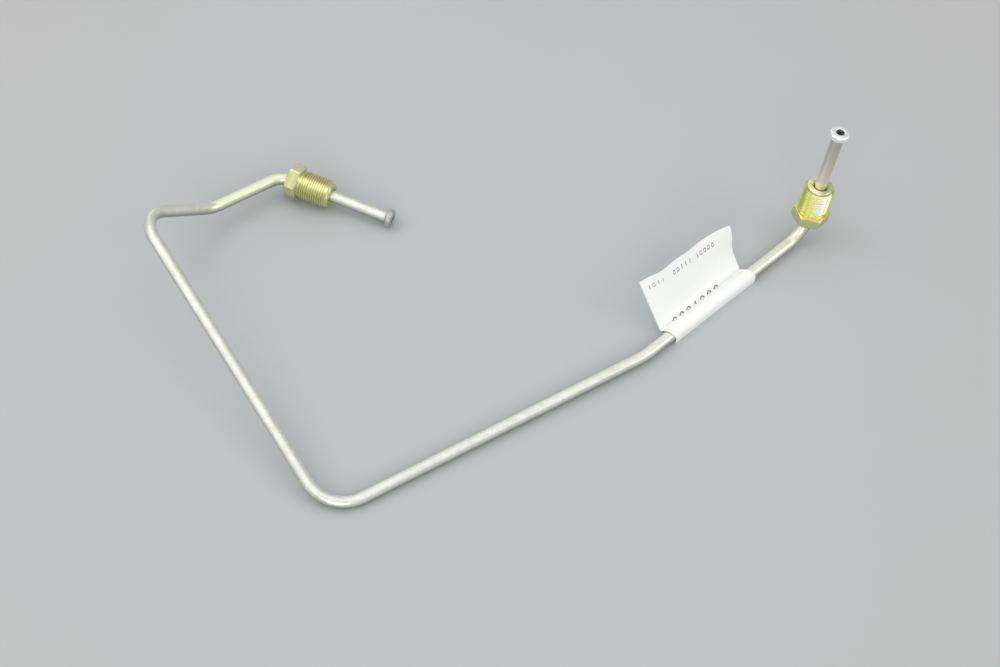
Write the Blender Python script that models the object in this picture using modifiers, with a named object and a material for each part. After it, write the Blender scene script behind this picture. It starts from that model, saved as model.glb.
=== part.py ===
"""Bent hydraulic pipe with a captive tube nut at each flared end and a folded paper label."""
import math

import bmesh
import bpy
from mathutils import Matrix, Vector

# Driving dimensions, in metres and degrees.
# The part lies as it rests: the floor is z = 0 and the middle of its box is x = y = 0.

# Where the lowest corner of the bend sheet stands in plan.
CORNER_X = -0.0607
CORNER_Y = -0.0798

# Bend sheet. Each straight run goes from one bend corner to the next, with its length,
# its heading in plan counted from +X, and its rise above the floor.
# The first three run from the lowest corner to the upright end.
FRONT_RUN = 0.1369
FRONT_HEADING = 30.0
FRONT_RISE = 0.2
LABEL_RUN = 0.0897
LABEL_HEADING = 41.5
LABEL_RISE = 0.0
RISER_RUN = 0.0576
RISER_HEADING = 39.4
RISER_RISE = 81.5

# The next four run from the lowest corner the other way, to the flat end.
LEFT_RUN = 0.1411
LEFT_HEADING = 123.8
LEFT_RISE = 12.9
TOP_RUN = 0.0392
TOP_HEADING = 41.0
TOP_RISE = -37.8
SHORT_RUN = 0.0320
SHORT_HEADING = 33.2
SHORT_RISE = -2.6
FLAT_RUN = 0.0498
FLAT_HEADING = -22.1
FLAT_RISE = -5.27

# Centreline radius of each bend, from the flat end to the upright end.
FLAT_END_BEND = 0.0100
SHORT_BEND = 0.0120
RAISED_BEND = 0.0120
LOWEST_BEND = 0.0155
SLIGHT_BEND = 0.0250
UPRIGHT_BEND = 0.0115

# Pipe and the flared head that is upset on each of its ends.
TUBE_DIAMETER = 0.00475
TUBE_WALL = 0.0007
FLARE_DIAMETER = 0.0078
FLARE_MOUTH_DIAMETER = 0.0046
FLARE_NOSE = 0.0008
FLARE_RIM = 0.0014
FLARE_BACK_ANGLE = 60.0
FLARE_ROOT_DEPTH = 0.00007

# Tube nut, measured along its axis from the face behind its hexagon.
NUT_LENGTH = 0.0190
HEX_SIDES = 6
HEX_ACROSS_FLATS = 0.0130
HEX_LENGTH = 0.0052
HEX_CHAMFER_ANGLE = 30.0
HEX_FACE_SHARE = 0.96
THREAD_DIAMETER = 0.0120
THREAD_PITCH = 0.0010
THREAD_DEPTH = 0.0006
THREAD_ANGLE = 60.0
THREAD_OVERCUT = 0.0002
RELIEF_DIAMETER = 0.0106
RELIEF_WIDTH = 0.0009
PILOT_DIAMETER = 0.0104
PILOT_LENGTH = 0.0014
THREAD_CHAMFER = 0.0008
PILOT_CHAMFER = 0.0005
NUT_CLEARANCE = 0.0003
BORE_COUNTERSINK = 0.0008
FLAT_NUT_SLIP_ONTO_BEND = 0.0017
UPRIGHT_NUT_SLIP_ONTO_BEND = 0.0009
UPRIGHT_NUT_FLAT_HEADING = -102.0

# Paper label, wrapped once round the pipe with its two halves stuck together as a flag.
PAPER_THICKNESS = 0.00015
LABEL_CLEARANCE = 0.0003
LABEL_START = 0.0135
LABEL_WIDTH = 0.0442
LABEL_SKEW = 0.0014
FLAG_HEIGHT = 0.0228
FLAG_ROOT_BACK = 0.0046
FLAG_ROOT_DROP = 0.0008
CREASE_FORWARD = 0.0026
FLAG_LEAN_START = 54.0
FLAG_LEAN_END = 67.5
FLAG_LEAN_WAVE = 3.0
FLAG_CURL = 16.0
FLAG_CURL_PHASE = 0.1

# Finishes: colour, metallic value and roughness.
PIPE_FINISH = ((0.66, 0.65, 0.59), 0.9, 0.38)
NUT_FINISH = ((0.62, 0.60, 0.24), 0.9, 0.32)
LABEL_FINISH = ((0.88, 0.89, 0.87), 0.0, 0.75)

# Fineness of the faceted surfaces.
TUBE_SIDES = 20
BORE_SIDES = 16
TURNED_SIDES = 40
ARC_STEP = 8.0
NOSE_STEPS = 5
FLAG_ROWS = 8
LABEL_COLUMNS = 20
WRAP_STEPS = 12
UNDERSIDE_STEPS = 3
PIPE_SHARP_ANGLE = 35.0
NUT_SHARP_ANGLE = 25.0
CUTTER_MARGIN = 0.0007
MERGE_DISTANCE = 0.000005

tube_radius = TUBE_DIAMETER / 2
bore_radius = tube_radius - TUBE_WALL
flare_radius = FLARE_DIAMETER / 2
flare_mouth_radius = FLARE_MOUTH_DIAMETER / 2
flare_length = FLARE_NOSE + FLARE_RIM
nut_bore_radius = tube_radius + NUT_CLEARANCE
hex_half_side_angle = 180.0 / HEX_SIDES
hex_corner_radius = HEX_ACROSS_FLATS / 2 / math.cos(math.radians(hex_half_side_angle))
nut_mouth_radius = nut_bore_radius + BORE_COUNTERSINK
wrap_radius = tube_radius + LABEL_CLEARANCE + PAPER_THICKNESS / 2


def clear_scene():
    """Remove whatever the open file holds."""
    for item in list(bpy.data.objects):
        bpy.data.objects.remove(item, do_unlink=True)


def new_collection(name):
    collection = bpy.data.collections.new(name)
    bpy.context.scene.collection.children.link(collection)
    return collection


def new_material(name, finish):
    colour, metallic, roughness = finish
    material = bpy.data.materials.new(name)
    material.use_nodes = True
    shader = material.node_tree.nodes["Principled BSDF"]
    shader.inputs["Base Color"].default_value = (*colour, 1.0)
    shader.inputs["Metallic"].default_value = metallic
    shader.inputs["Roughness"].default_value = roughness
    return material


def add_object(name, mesh, collection):
    item = bpy.data.objects.new(name, mesh)
    collection.objects.link(item)
    return item


def hide_cutter(item):
    item.hide_render = True
    item.display_type = "WIRE"


def direction(heading, rise):
    """Unit vector of a run, from its heading in plan and its rise above the floor."""
    plan = math.radians(heading)
    lift = math.radians(rise)
    return Vector((math.cos(plan) * math.cos(lift), math.sin(plan) * math.cos(lift), math.sin(lift)))


def walk(start, runs):
    """Bend corners reached from start, one after each run."""
    corners = [start]
    for length, heading, rise in runs:
        corners.append(corners[-1] + length * direction(heading, rise))
    return corners


def bend_corners():
    """All bend corners of the pipe, from the flat end's tip to the upright end's tip."""
    lowest = Vector((CORNER_X, CORNER_Y, tube_radius))
    to_flat_end = walk(lowest, [
        (LEFT_RUN, LEFT_HEADING, LEFT_RISE),
        (TOP_RUN, TOP_HEADING, TOP_RISE),
        (SHORT_RUN, SHORT_HEADING, SHORT_RISE),
        (FLAT_RUN, FLAT_HEADING, FLAT_RISE),
    ])
    to_upright_end = walk(lowest, [
        (FRONT_RUN, FRONT_HEADING, FRONT_RISE),
        (LABEL_RUN, LABEL_HEADING, LABEL_RISE),
        (RISER_RUN, RISER_HEADING, RISER_RISE),
    ])
    return to_flat_end[::-1] + to_upright_end[1:]


def bend_radii():
    return [FLAT_END_BEND, SHORT_BEND, RAISED_BEND, LOWEST_BEND, SLIGHT_BEND, UPRIGHT_BEND]


def turn_angle(before, corner, after):
    return (corner - before).angle(after - corner)


def tangent_length(before, corner, after, radius):
    """Distance from a bend corner to where its arc meets the straight run."""
    return radius * math.tan(turn_angle(before, corner, after) / 2)


def bend_arc(before, corner, after, radius):
    """Points along one bend, from the end of one straight run to the start of the next."""
    turn = turn_angle(before, corner, after)
    reach = tangent_length(before, corner, after, radius)
    inward = (before - corner).normalized()
    outward = (after - corner).normalized()
    start = corner + inward * reach
    centre = corner + (inward + outward).normalized() * radius / math.cos(turn / 2)
    axis = (corner - before).cross(after - corner).normalized()
    steps = max(2, round(math.degrees(turn) / ARC_STEP))
    spoke = start - centre
    return [centre + Matrix.Rotation(turn * step / steps, 3, axis) @ spoke for step in range(steps + 1)]


def centreline(inset):
    """Centreline of the pipe, cut back by an inset at each tip, or run past it if negative."""
    corners = bend_corners()
    first_run = (corners[1] - corners[0]).normalized()
    last_run = (corners[-1] - corners[-2]).normalized()
    points = [corners[0] + first_run * inset]
    for index, radius in enumerate(bend_radii(), start=1):
        points += bend_arc(corners[index - 1], corners[index], corners[index + 1], radius)
    points.append(corners[-1] - last_run * inset)
    return points


def close_shell(mesh):
    """Merge the points that coincide, and turn every face outwards."""
    shell = bmesh.new()
    shell.from_mesh(mesh)
    bmesh.ops.remove_doubles(shell, verts=shell.verts, dist=MERGE_DISTANCE)
    bmesh.ops.recalc_face_normals(shell, faces=shell.faces)
    shell.to_mesh(mesh)
    shell.free()


def swept_rod(name, points, radius, sides, collection):
    """Round rod along a path: a bevelled curve turned into one closed mesh.

    A bevelled curve has four sides, and two more for each step of its bevel resolution.
    """
    curve = bpy.data.curves.new(name + "_path", "CURVE")
    curve.dimensions = "3D"
    curve.bevel_depth = radius
    curve.bevel_resolution = (sides - 4) // 2
    curve.use_fill_caps = True
    spline = curve.splines.new("POLY")
    spline.points.add(len(points) - 1)
    for target, point in zip(spline.points, points):
        target.co = (*point, 1.0)
    path = add_object(name + "_path", curve, collection)
    mesh = bpy.data.meshes.new_from_object(path.evaluated_get(bpy.context.evaluated_depsgraph_get()))
    rod = add_object(name, mesh, collection)
    rod.matrix_world = path.matrix_world.copy()
    bpy.data.objects.remove(path, do_unlink=True)
    close_shell(mesh)
    return rod


def turned(name, profile, collection):
    """Turned body from a profile of (radius, height) points that runs down its outer side."""
    mesh = bpy.data.meshes.new(name)
    half_facet = Matrix.Rotation(math.pi / TURNED_SIDES, 3, "Z")
    points = [half_facet @ Vector((radius, 0.0, height)) for radius, height in profile]
    edges = [(index, index + 1) for index in range(len(points) - 1)]
    mesh.from_pydata(points, edges, [])
    item = add_object(name, mesh, collection)
    screw = item.modifiers.new("turn", "SCREW")
    screw.steps = TURNED_SIDES
    screw.render_steps = TURNED_SIDES
    screw.use_merge_vertices = True
    screw.merge_threshold = MERGE_DISTANCE
    return item


def boolean(target, cutter, operation):
    modifier = target.modifiers.new(operation.lower() + "_" + cutter.name, "BOOLEAN")
    modifier.operation = operation
    modifier.solver = "EXACT"
    modifier.object = cutter
    hide_cutter(cutter)


def settle(item, sharp_angle):
    """Apply an object's modifiers and shade its round faces smooth."""
    bpy.context.view_layer.update()
    evaluated = item.evaluated_get(bpy.context.evaluated_depsgraph_get())
    mesh = bpy.data.meshes.new_from_object(evaluated)
    item.modifiers.clear()
    item.data = mesh
    close_shell(mesh)
    mesh.shade_smooth()
    mesh.set_sharp_from_angle(angle=math.radians(sharp_angle))


def frame_on_axis(origin, axis, side):
    """Placement whose Z runs along axis and whose X points as near to side as it can."""
    z_axis = axis.normalized()
    x_axis = (side - z_axis * side.dot(z_axis)).normalized()
    y_axis = z_axis.cross(x_axis)
    turn = Matrix((x_axis, y_axis, z_axis)).transposed()
    return Matrix.Translation(origin) @ turn.to_4x4()


def flare_profile():
    """Outer side of a flared head from its flat mouth, over its domed nose to its back cone."""
    points = [(0.0, 0.0)]
    for step in range(NOSE_STEPS + 1):
        angle = math.pi / 2 * step / NOSE_STEPS
        radius = flare_mouth_radius + (flare_radius - flare_mouth_radius) * math.sin(angle)
        points.append((radius, -FLARE_NOSE * (1 - math.cos(angle))))
    neck = tube_radius - FLARE_ROOT_DEPTH
    cone_run = (flare_radius - neck) / math.tan(math.radians(FLARE_BACK_ANGLE))
    points.append((flare_radius, -flare_length))
    points.append((neck, -flare_length - cone_run))
    points.append((0.0, -flare_length - cone_run))
    return points


def make_tube(collection, cutters):
    """Pipe with its two flared heads and its bore right through."""
    corners = bend_corners()
    heads = (("flat_flare", corners[0], corners[1]), ("upright_flare", corners[-1], corners[-2]))
    tube = swept_rod("bent_tube", centreline(flare_length / 2), tube_radius, TUBE_SIDES, collection)
    for name, tip, inner in heads:
        head = turned(name, flare_profile(), cutters)
        head.matrix_world = frame_on_axis(tip, tip - inner, Vector((0.0, 0.0, -1.0)))
        boolean(tube, head, "UNION")
    bore = swept_rod("tube_bore", centreline(-CUTTER_MARGIN), bore_radius, BORE_SIDES, cutters)
    boolean(tube, bore, "DIFFERENCE")
    settle(tube, PIPE_SHARP_ANGLE)
    tube.data.materials.clear()
    tube.data.materials.append(new_material("plated_pipe", PIPE_FINISH))
    return tube


def shank_profile():
    """Outside of a nut in front of its hexagon: relief groove, thread and plain pilot."""
    hex_overlap = HEX_LENGTH / 2
    thread_start = HEX_LENGTH + RELIEF_WIDTH
    thread_end = NUT_LENGTH - PILOT_LENGTH
    thread_radius = THREAD_DIAMETER / 2
    relief_radius = RELIEF_DIAMETER / 2
    pilot_radius = PILOT_DIAMETER / 2
    return [
        (0.0, NUT_LENGTH),
        (pilot_radius - PILOT_CHAMFER, NUT_LENGTH),
        (pilot_radius, NUT_LENGTH - PILOT_CHAMFER),
        (pilot_radius, thread_end),
        (thread_radius, thread_end - THREAD_CHAMFER),
        (thread_radius, thread_start + THREAD_CHAMFER),
        (relief_radius, thread_start),
        (relief_radius, hex_overlap),
        (0.0, hex_overlap),
    ]


def wind_thread_groove(name, collection):
    """Helical V groove from the relief to the pilot, in step with the facets of the shank."""
    outer_radius = THREAD_DIAMETER / 2 + THREAD_OVERCUT
    root_radius = THREAD_DIAMETER / 2 - THREAD_DEPTH
    half_width = (outer_radius - root_radius) * math.tan(math.radians(THREAD_ANGLE / 2))
    start = HEX_LENGTH + half_width + NUT_CLEARANCE / 2
    end = NUT_LENGTH - PILOT_LENGTH + half_width
    facet_rise = THREAD_PITCH / TURNED_SIDES
    facets = round((end - start) / facet_rise)
    section = ((root_radius, 0.0), (outer_radius, half_width), (outer_radius, -half_width))
    groove = bmesh.new()
    rows = []
    for facet in range(facets + 1):
        turn = Matrix.Rotation(2 * math.pi * (facet + 0.5) / TURNED_SIDES, 3, "Z")
        height = start + facet * facet_rise
        points = [turn @ Vector((radius, 0.0, height + offset)) for radius, offset in section]
        rows.append([groove.verts.new(point) for point in points])
    for here, there in zip(rows, rows[1:]):
        for index in range(len(section)):
            groove.faces.new((here[index - 1], here[index], there[index], there[index - 1]))
    groove.faces.new(rows[0])
    groove.faces.new(rows[-1][::-1])
    bmesh.ops.recalc_face_normals(groove, faces=groove.faces)
    mesh = bpy.data.meshes.new(name)
    groove.to_mesh(mesh)
    groove.free()
    return add_object(name, mesh, collection)


def hex_limit_profile():
    """Double cone that takes the corners off both ends of the hexagon."""
    slope = math.tan(math.radians(HEX_CHAMFER_ANGLE))
    face_radius = HEX_ACROSS_FLATS / 2 * HEX_FACE_SHARE
    widest = hex_corner_radius + CUTTER_MARGIN
    narrowest = face_radius - CUTTER_MARGIN
    drop = (widest - face_radius) * slope
    overrun = (face_radius - narrowest) * slope
    return [
        (0.0, HEX_LENGTH + overrun),
        (narrowest, HEX_LENGTH + overrun),
        (widest, HEX_LENGTH - drop),
        (widest, drop),
        (narrowest, -overrun),
        (0.0, -overrun),
    ]


def nut_bore_profile():
    """Running bore of a nut, opened by a countersink at both ends."""
    return [
        (0.0, NUT_LENGTH + BORE_COUNTERSINK),
        (nut_mouth_radius + BORE_COUNTERSINK, NUT_LENGTH + BORE_COUNTERSINK),
        (nut_bore_radius, NUT_LENGTH - BORE_COUNTERSINK),
        (nut_bore_radius, BORE_COUNTERSINK),
        (nut_mouth_radius + BORE_COUNTERSINK, -BORE_COUNTERSINK),
        (0.0, -BORE_COUNTERSINK),
    ]


def make_nut(name, collection, cutters):
    """One tube nut, standing on the face behind its hexagon, with a hex corner along X."""
    mesh = bpy.data.meshes.new(name)
    prism = bmesh.new()
    quarter_turn = Matrix.Rotation(math.radians(90), 4, "Z")
    bmesh.ops.create_cone(
        prism,
        cap_ends=True,
        segments=HEX_SIDES,
        radius1=hex_corner_radius,
        radius2=hex_corner_radius,
        depth=HEX_LENGTH,
        matrix=Matrix.Translation((0.0, 0.0, HEX_LENGTH / 2)) @ quarter_turn,
    )
    prism.to_mesh(mesh)
    prism.free()
    nut = add_object(name, mesh, collection)
    boolean(nut, turned("nut_corners", hex_limit_profile(), cutters), "INTERSECT")
    shank = turned("nut_shank", shank_profile(), cutters)
    boolean(shank, wind_thread_groove("thread_groove", cutters), "DIFFERENCE")
    boolean(nut, shank, "UNION")
    boolean(nut, turned("nut_bore", nut_bore_profile(), cutters), "DIFFERENCE")
    settle(nut, NUT_SHARP_ANGLE)
    nut.data.materials.clear()
    nut.data.materials.append(new_material("yellow_plate", NUT_FINISH))
    return nut


def nut_seat(end_bend_radius, slip, corner, next_corner, tip):
    """Where a nut's rear face rests, its bore just slipped onto the end bend."""
    reach = tangent_length(next_corner, corner, tip, end_bend_radius)
    return corner + (tip - corner).normalized() * (reach - slip)


def nut_placements():
    """Placements of the flat end's and the upright end's nut, each with a hex corner along X."""
    corners = bend_corners()
    flat_seat = nut_seat(FLAT_END_BEND, FLAT_NUT_SLIP_ONTO_BEND, *corners[1:3], corners[0])
    upright_seat = nut_seat(UPRIGHT_BEND, UPRIGHT_NUT_SLIP_ONTO_BEND, *corners[-2:-4:-1], corners[-1])
    down = Vector((0.0, 0.0, -1.0))
    upright_corner = direction(UPRIGHT_NUT_FLAT_HEADING + hex_half_side_angle, 0.0)
    return (
        frame_on_axis(flat_seat, corners[0] - corners[1], down),
        frame_on_axis(upright_seat, corners[-1] - corners[-2], upright_corner),
    )


def nut_travels():
    """How far each nut slides, from the bend to where its mouth meets the flare's back cone."""
    corners = bend_corners()
    seats = [placement.translation for placement in nut_placements()]
    cone_to_mouth = (flare_radius - nut_mouth_radius) / math.tan(math.radians(FLARE_BACK_ANGLE))
    taken = NUT_LENGTH + flare_length + cone_to_mouth + NUT_CLEARANCE
    return (corners[0] - seats[0]).length - taken, (corners[-1] - seats[1]).length - taken


def meet(point, first_way, first_offset, second_way, second_offset):
    """Where two lines through a point meet after each moves sideways to its left."""
    first_start = point + first_offset * Vector((-first_way.y, first_way.x))
    second_start = point + second_offset * Vector((-second_way.y, second_way.x))
    spread = first_way.x * second_way.y - first_way.y * second_way.x
    gap = second_start - first_start
    along = (gap.x * second_way.y - gap.y * second_way.x) / spread
    return first_start + first_way * along


def touch_angle(point, side):
    """Angle on the wrap circle where the tangent from an outside point touches it."""
    return math.atan2(point.y, point.x) + side * math.acos(wrap_radius / point.length)


def on_circle(radius, angle):
    return Vector((math.cos(angle), math.sin(angle))) * radius


def flag_lean(along, up):
    """Lean of the flag back from the floor, steeper and more curled towards its far end."""
    lean = FLAG_LEAN_START + (FLAG_LEAN_END - FLAG_LEAN_START) * along
    lean += FLAG_LEAN_WAVE * math.sin(2 * math.pi * along)
    lean -= FLAG_CURL * along ** 3 * math.sin(2 * math.pi * (up + FLAG_CURL_PHASE))
    return math.radians(lean)


def label_section(along):
    """Section of the label across the pipe, in (forward, up) from the pipe's axis.

    Returns the flag's front and back points from its top to its root, and the outer and
    inner points of the loop from the root over the pipe, round the crease and back.
    """
    half = PAPER_THICKNESS / 2
    root = Vector((-FLAG_ROOT_BACK, -FLAG_ROOT_DROP))
    crease = Vector((CREASE_FORWARD, -wrap_radius))
    rise = [root]
    ways = []
    for row in range(FLAG_ROWS):
        lean = flag_lean(along, (row + 0.5) / FLAG_ROWS)
        ways.append(Vector((-math.cos(lean), math.sin(lean))))
        rise.append(rise[-1] + ways[-1] * FLAG_HEIGHT / FLAG_ROWS)

    over_start = touch_angle(root, -1) % (2 * math.pi)
    over_end = touch_angle(crease, 1)
    under_start = touch_angle(crease, -1)
    under_end = touch_angle(root, 1)
    down_front = (on_circle(wrap_radius, over_start) - root).normalized()
    to_crease = (crease - on_circle(wrap_radius, over_end)).normalized()
    from_crease = (on_circle(wrap_radius, under_start) - crease).normalized()
    to_root = (root - on_circle(wrap_radius, under_end)).normalized()

    front = [meet(root, -ways[0], PAPER_THICKNESS, down_front, half)]
    back = [meet(root, to_root, half, ways[0], PAPER_THICKNESS)]
    for row in range(1, FLAG_ROWS + 1):
        way = ways[row - 1]
        if row < FLAG_ROWS:
            way = (ways[row - 1] + ways[row]).normalized()
        normal = Vector((way.y, -way.x))
        front.append(rise[row] + normal * PAPER_THICKNESS)
        back.append(rise[row] - normal * PAPER_THICKNESS)

    outer = [front[0]]
    inner = [meet(root, to_root, -half, down_front, -half)]
    for step in range(WRAP_STEPS + 1):
        angle = over_start + (over_end - over_start) * step / WRAP_STEPS
        outer.append(on_circle(wrap_radius + half, angle))
        inner.append(on_circle(wrap_radius - half, angle))
    outer.append(meet(crease, to_crease, half, from_crease, half))
    inner.append(meet(crease, to_crease, -half, from_crease, -half))
    for step in range(UNDERSIDE_STEPS + 1):
        angle = under_start + (under_end - under_start) * step / UNDERSIDE_STEPS
        outer.append(on_circle(wrap_radius + half, angle))
        inner.append(on_circle(wrap_radius - half, angle))
    outer.append(back[0])
    return front[::-1], back[::-1], outer, inner


def loop_skew(count):
    """Share of the skew at each loop point, none at the root and all of it at the crease."""
    crease_index = WRAP_STEPS + 2
    shares = []
    for index in range(count):
        if index <= crease_index:
            part = index / crease_index
        else:
            part = (count - 1 - index) / (count - 1 - crease_index)
        shares.append((1 - math.cos(math.pi * part)) / 2)
    return shares


def make_label(collection):
    """Label lofted along the pipe through a section that leans and curls as it goes."""
    corners = bend_corners()
    start = corners[5]
    along_pipe = (corners[6] - start).normalized()
    forward = along_pipe.cross(Vector((0.0, 0.0, 1.0))).normalized()
    upward = forward.cross(along_pipe)
    sheet = bmesh.new()

    def add_row(points, distance, skews):
        row = []
        for point, skew in zip(points, skews):
            place = start + along_pipe * (distance + skew * LABEL_SKEW)
            row.append(sheet.verts.new(place + forward * point.x + upward * point.y))
        return row

    stations = []
    for column in range(LABEL_COLUMNS + 1):
        along = column / LABEL_COLUMNS
        distance = LABEL_START + LABEL_WIDTH * along
        front, back, outer, inner = label_section(along)
        skews = loop_skew(len(outer))
        front_row = add_row(front, distance, [0.0] * len(front))
        back_row = add_row(back, distance, [0.0] * len(back))
        outer_row = front_row[-1:] + add_row(outer[1:-1], distance, skews[1:-1]) + back_row[-1:]
        inner_row = add_row(inner, distance, skews[:-1])
        inner_row.append(inner_row[0])
        stations.append((front_row, back_row, outer_row, inner_row))

    def skin(first, second):
        for index in range(len(first) - 1):
            sheet.faces.new((first[index], first[index + 1], second[index + 1], second[index]))

    for here, there in zip(stations, stations[1:]):
        skin(here[0], there[0])
        skin(there[1], here[1])
        skin(here[2], there[2])
        skin(there[3], here[3])
        sheet.faces.new((here[1][0], here[0][0], there[0][0], there[1][0]))
    for front_row, back_row, outer_row, inner_row in (stations[0], stations[-1]):
        skin(front_row, back_row)
        sheet.faces.new((front_row[-1], inner_row[0], back_row[-1]))
        sheet.faces.new((outer_row[0], outer_row[1], inner_row[1], inner_row[0]))
        skin(outer_row[1:-1], inner_row[1:-1])
        sheet.faces.new((outer_row[-2], outer_row[-1], inner_row[0], inner_row[-2]))
    bmesh.ops.recalc_face_normals(sheet, faces=sheet.faces)
    mesh = bpy.data.meshes.new("folded_label")
    sheet.to_mesh(mesh)
    sheet.free()
    mesh.materials.append(new_material("label_paper", LABEL_FINISH))
    return add_object("folded_label", mesh, collection)


def build():
    clear_scene()
    parts = new_collection("bent_tube_assembly")
    cutters = new_collection("cutters")
    make_tube(parts, cutters)
    flat_nut = make_nut("flat_end_nut", parts, cutters)
    upright_nut = add_object("upright_end_nut", flat_nut.data, parts)
    for nut, placement, travel in zip((flat_nut, upright_nut), nut_placements(), nut_travels()):
        nut.matrix_world = placement
        nut["slide_travel"] = travel
    make_label(parts)


if __name__ == "__main__":
    build()
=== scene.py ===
# Looks of a bent brake pipe: plated steel, two threaded tube nuts and a printed paper label.
import math

import bmesh
import bpy
from mathutils import Matrix, Vector, noise


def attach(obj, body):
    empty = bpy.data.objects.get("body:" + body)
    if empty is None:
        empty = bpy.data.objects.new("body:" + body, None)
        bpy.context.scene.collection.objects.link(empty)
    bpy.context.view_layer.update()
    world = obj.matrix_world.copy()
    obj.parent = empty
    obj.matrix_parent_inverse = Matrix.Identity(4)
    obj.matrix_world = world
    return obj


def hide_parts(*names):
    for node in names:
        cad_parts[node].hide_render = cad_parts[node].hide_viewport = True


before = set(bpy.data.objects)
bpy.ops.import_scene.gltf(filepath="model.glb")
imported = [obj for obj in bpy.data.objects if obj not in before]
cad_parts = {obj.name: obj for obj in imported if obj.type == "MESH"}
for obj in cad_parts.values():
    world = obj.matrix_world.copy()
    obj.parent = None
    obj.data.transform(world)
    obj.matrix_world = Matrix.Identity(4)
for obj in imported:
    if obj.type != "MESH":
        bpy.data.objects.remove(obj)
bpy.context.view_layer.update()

mm = 0.001
up = Vector((0.0, 0.0, 1.0))
print("frame loaded with", len(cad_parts), "pieces")


# Camera: the photograph's own viewpoint, in the pipe's frame.
camera = {
    "place": (2.3 * mm, -382.9 * mm, 591.3 * mm),
    "lookDown": 57.0,      # degrees below level
    "lens": 64.8,
    "sensorWidth": 36.0,
}


def makeCamera():
    data = bpy.data.cameras.new("photoCamera")
    data.lens = camera["lens"]
    data.sensor_width = camera["sensorWidth"]
    eye = bpy.data.objects.new("photoCamera", data)
    eye.location = camera["place"]
    eye.rotation_euler = (math.radians(90.0 - camera["lookDown"]), 0.0, 0.0)
    bpy.context.scene.collection.objects.link(eye)
    bpy.context.scene.camera = eye


makeCamera()
print("camera placed")


# Small helpers for meshes.
def newPiece(name, mesh, material):
    mesh.materials.append(material)
    piece = bpy.data.objects.new(name, mesh)
    bpy.context.scene.collection.objects.link(piece)
    return piece


def loftRows(bm, uv, rows, rounds, alongFirst):
    # faces between rows of points, mapped flat by the way along the rows and how far round each point lies
    travelled = 0.0
    for here, there in zip(rows, rows[1:]):
        reached = travelled + (there[0].co - here[0].co).length
        for index, (low, high) in enumerate(zip(rounds, rounds[1:])):
            face = bm.faces.new((here[index], here[index + 1], there[index + 1], there[index]))
            places = ((travelled, low), (travelled, high), (reached, high), (reached, low))
            for corner, place in zip(face.loops, places):
                corner[uv].uv = place if alongFirst else place[::-1]
        travelled = reached


def closeMesh(name, bm, shape):
    bmesh.ops.remove_doubles(bm, verts=bm.verts, dist=shape["mergeGap"])
    bmesh.ops.recalc_face_normals(bm, faces=bm.faces)
    mesh = bpy.data.meshes.new(name)
    bm.to_mesh(mesh)
    bm.free()
    mesh.shade_smooth()
    mesh.set_sharp_from_angle(angle=math.radians(shape["sharpAngle"]))
    return mesh


def roundedEdge(before, corner, after, radius, steps):
    # points of a small round between two straight sides of a profile
    inward = (before - corner).normalized()
    outward = (after - corner).normalized()
    half = inward.angle(outward) / 2
    reach = radius / math.tan(half)
    centre = corner + (inward + outward).normalized() * (radius / math.sin(half))
    first = corner + inward * reach - centre
    turn = math.pi - 2 * half
    if first.x * outward.y - first.y * outward.x < 0:
        turn = -turn
    points = []
    for step in range(steps + 1):
        angle = turn * step / steps
        points.append(centre + Vector((
            first.x * math.cos(angle) - first.y * math.sin(angle),
            first.x * math.sin(angle) + first.y * math.cos(angle),
        )))
    return points


def roundedProfile(corners, steps):
    # corners are (radius, height, rounding), the first and last are kept as they are
    spots = [Vector(corner[:2]) for corner in corners]
    points = spots[:1]
    for before, here, after, corner in zip(spots, spots[1:], spots[2:], corners[1:]):
        rounding = corner[2]
        points += roundedEdge(before, here, after, rounding, steps) if rounding else [here]
    return points + spots[-1:]


# Small helpers for materials.
nodeGrid = (220, -190)      # a node's spot counts columns and rows of this size
bumpDepth = 0.02 * mm


def feed(tree, node, inputs):
    # an input gets a fixed value, or is linked to the output socket that is given for it
    for key, value in inputs.items():
        if isinstance(value, bpy.types.NodeSocket):
            tree.links.new(value, node.inputs[key])
        else:
            node.inputs[key].default_value = value


def addNode(tree, kind, spot, inputs=None, **settings):
    node = tree.nodes.new(kind)
    node.location = (spot[0] * nodeGrid[0], spot[1] * nodeGrid[1])
    for key, value in settings.items():
        setattr(node, key, value)
    feed(tree, node, inputs or {})
    return node


def calc(tree, spot, operation, first, second=None):
    inputs = {0: first} if second is None else {0: first, 1: second}
    return addNode(tree, "ShaderNodeMath", spot, inputs, operation=operation).outputs["Value"]


def mapRange(tree, spot, value, start, end, low=0.0, high=1.0, kind="SMOOTHSTEP"):
    node = addNode(tree, "ShaderNodeMapRange", spot, interpolation_type=kind)
    feed(tree, node, {"Value": value, "From Min": start, "From Max": end, "To Min": low, "To Max": high})
    return node.outputs["Result"]


def mixColour(tree, spot, share, under, over):
    return addNode(tree, "ShaderNodeMix", spot, {0: share, 6: under, 7: over}, data_type="RGBA").outputs[2]


def attribute(tree, spot, name, output="Fac"):
    return addNode(tree, "ShaderNodeAttribute", spot, attribute_name=name).outputs[output]


def bumpFrom(tree, spot, height, strength):
    inputs = {"Height": height, "Strength": strength, "Distance": bumpDepth}
    return addNode(tree, "ShaderNodeBump", spot, inputs).outputs["Normal"]


def newMaterial(name):
    # also gives the socket that tells each place on the piece, in its own axes
    material = bpy.data.materials.new(name)
    material.use_nodes = True
    tree = material.node_tree
    shader = tree.nodes["Principled BSDF"]
    shader.location.x = 5 * nodeGrid[0]
    tree.nodes["Material Output"].location.x = 7 * nodeGrid[0]
    place = addNode(tree, "ShaderNodeTexCoord", (-7, 0)).outputs["Object"]
    return material, tree, shader, place


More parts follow.
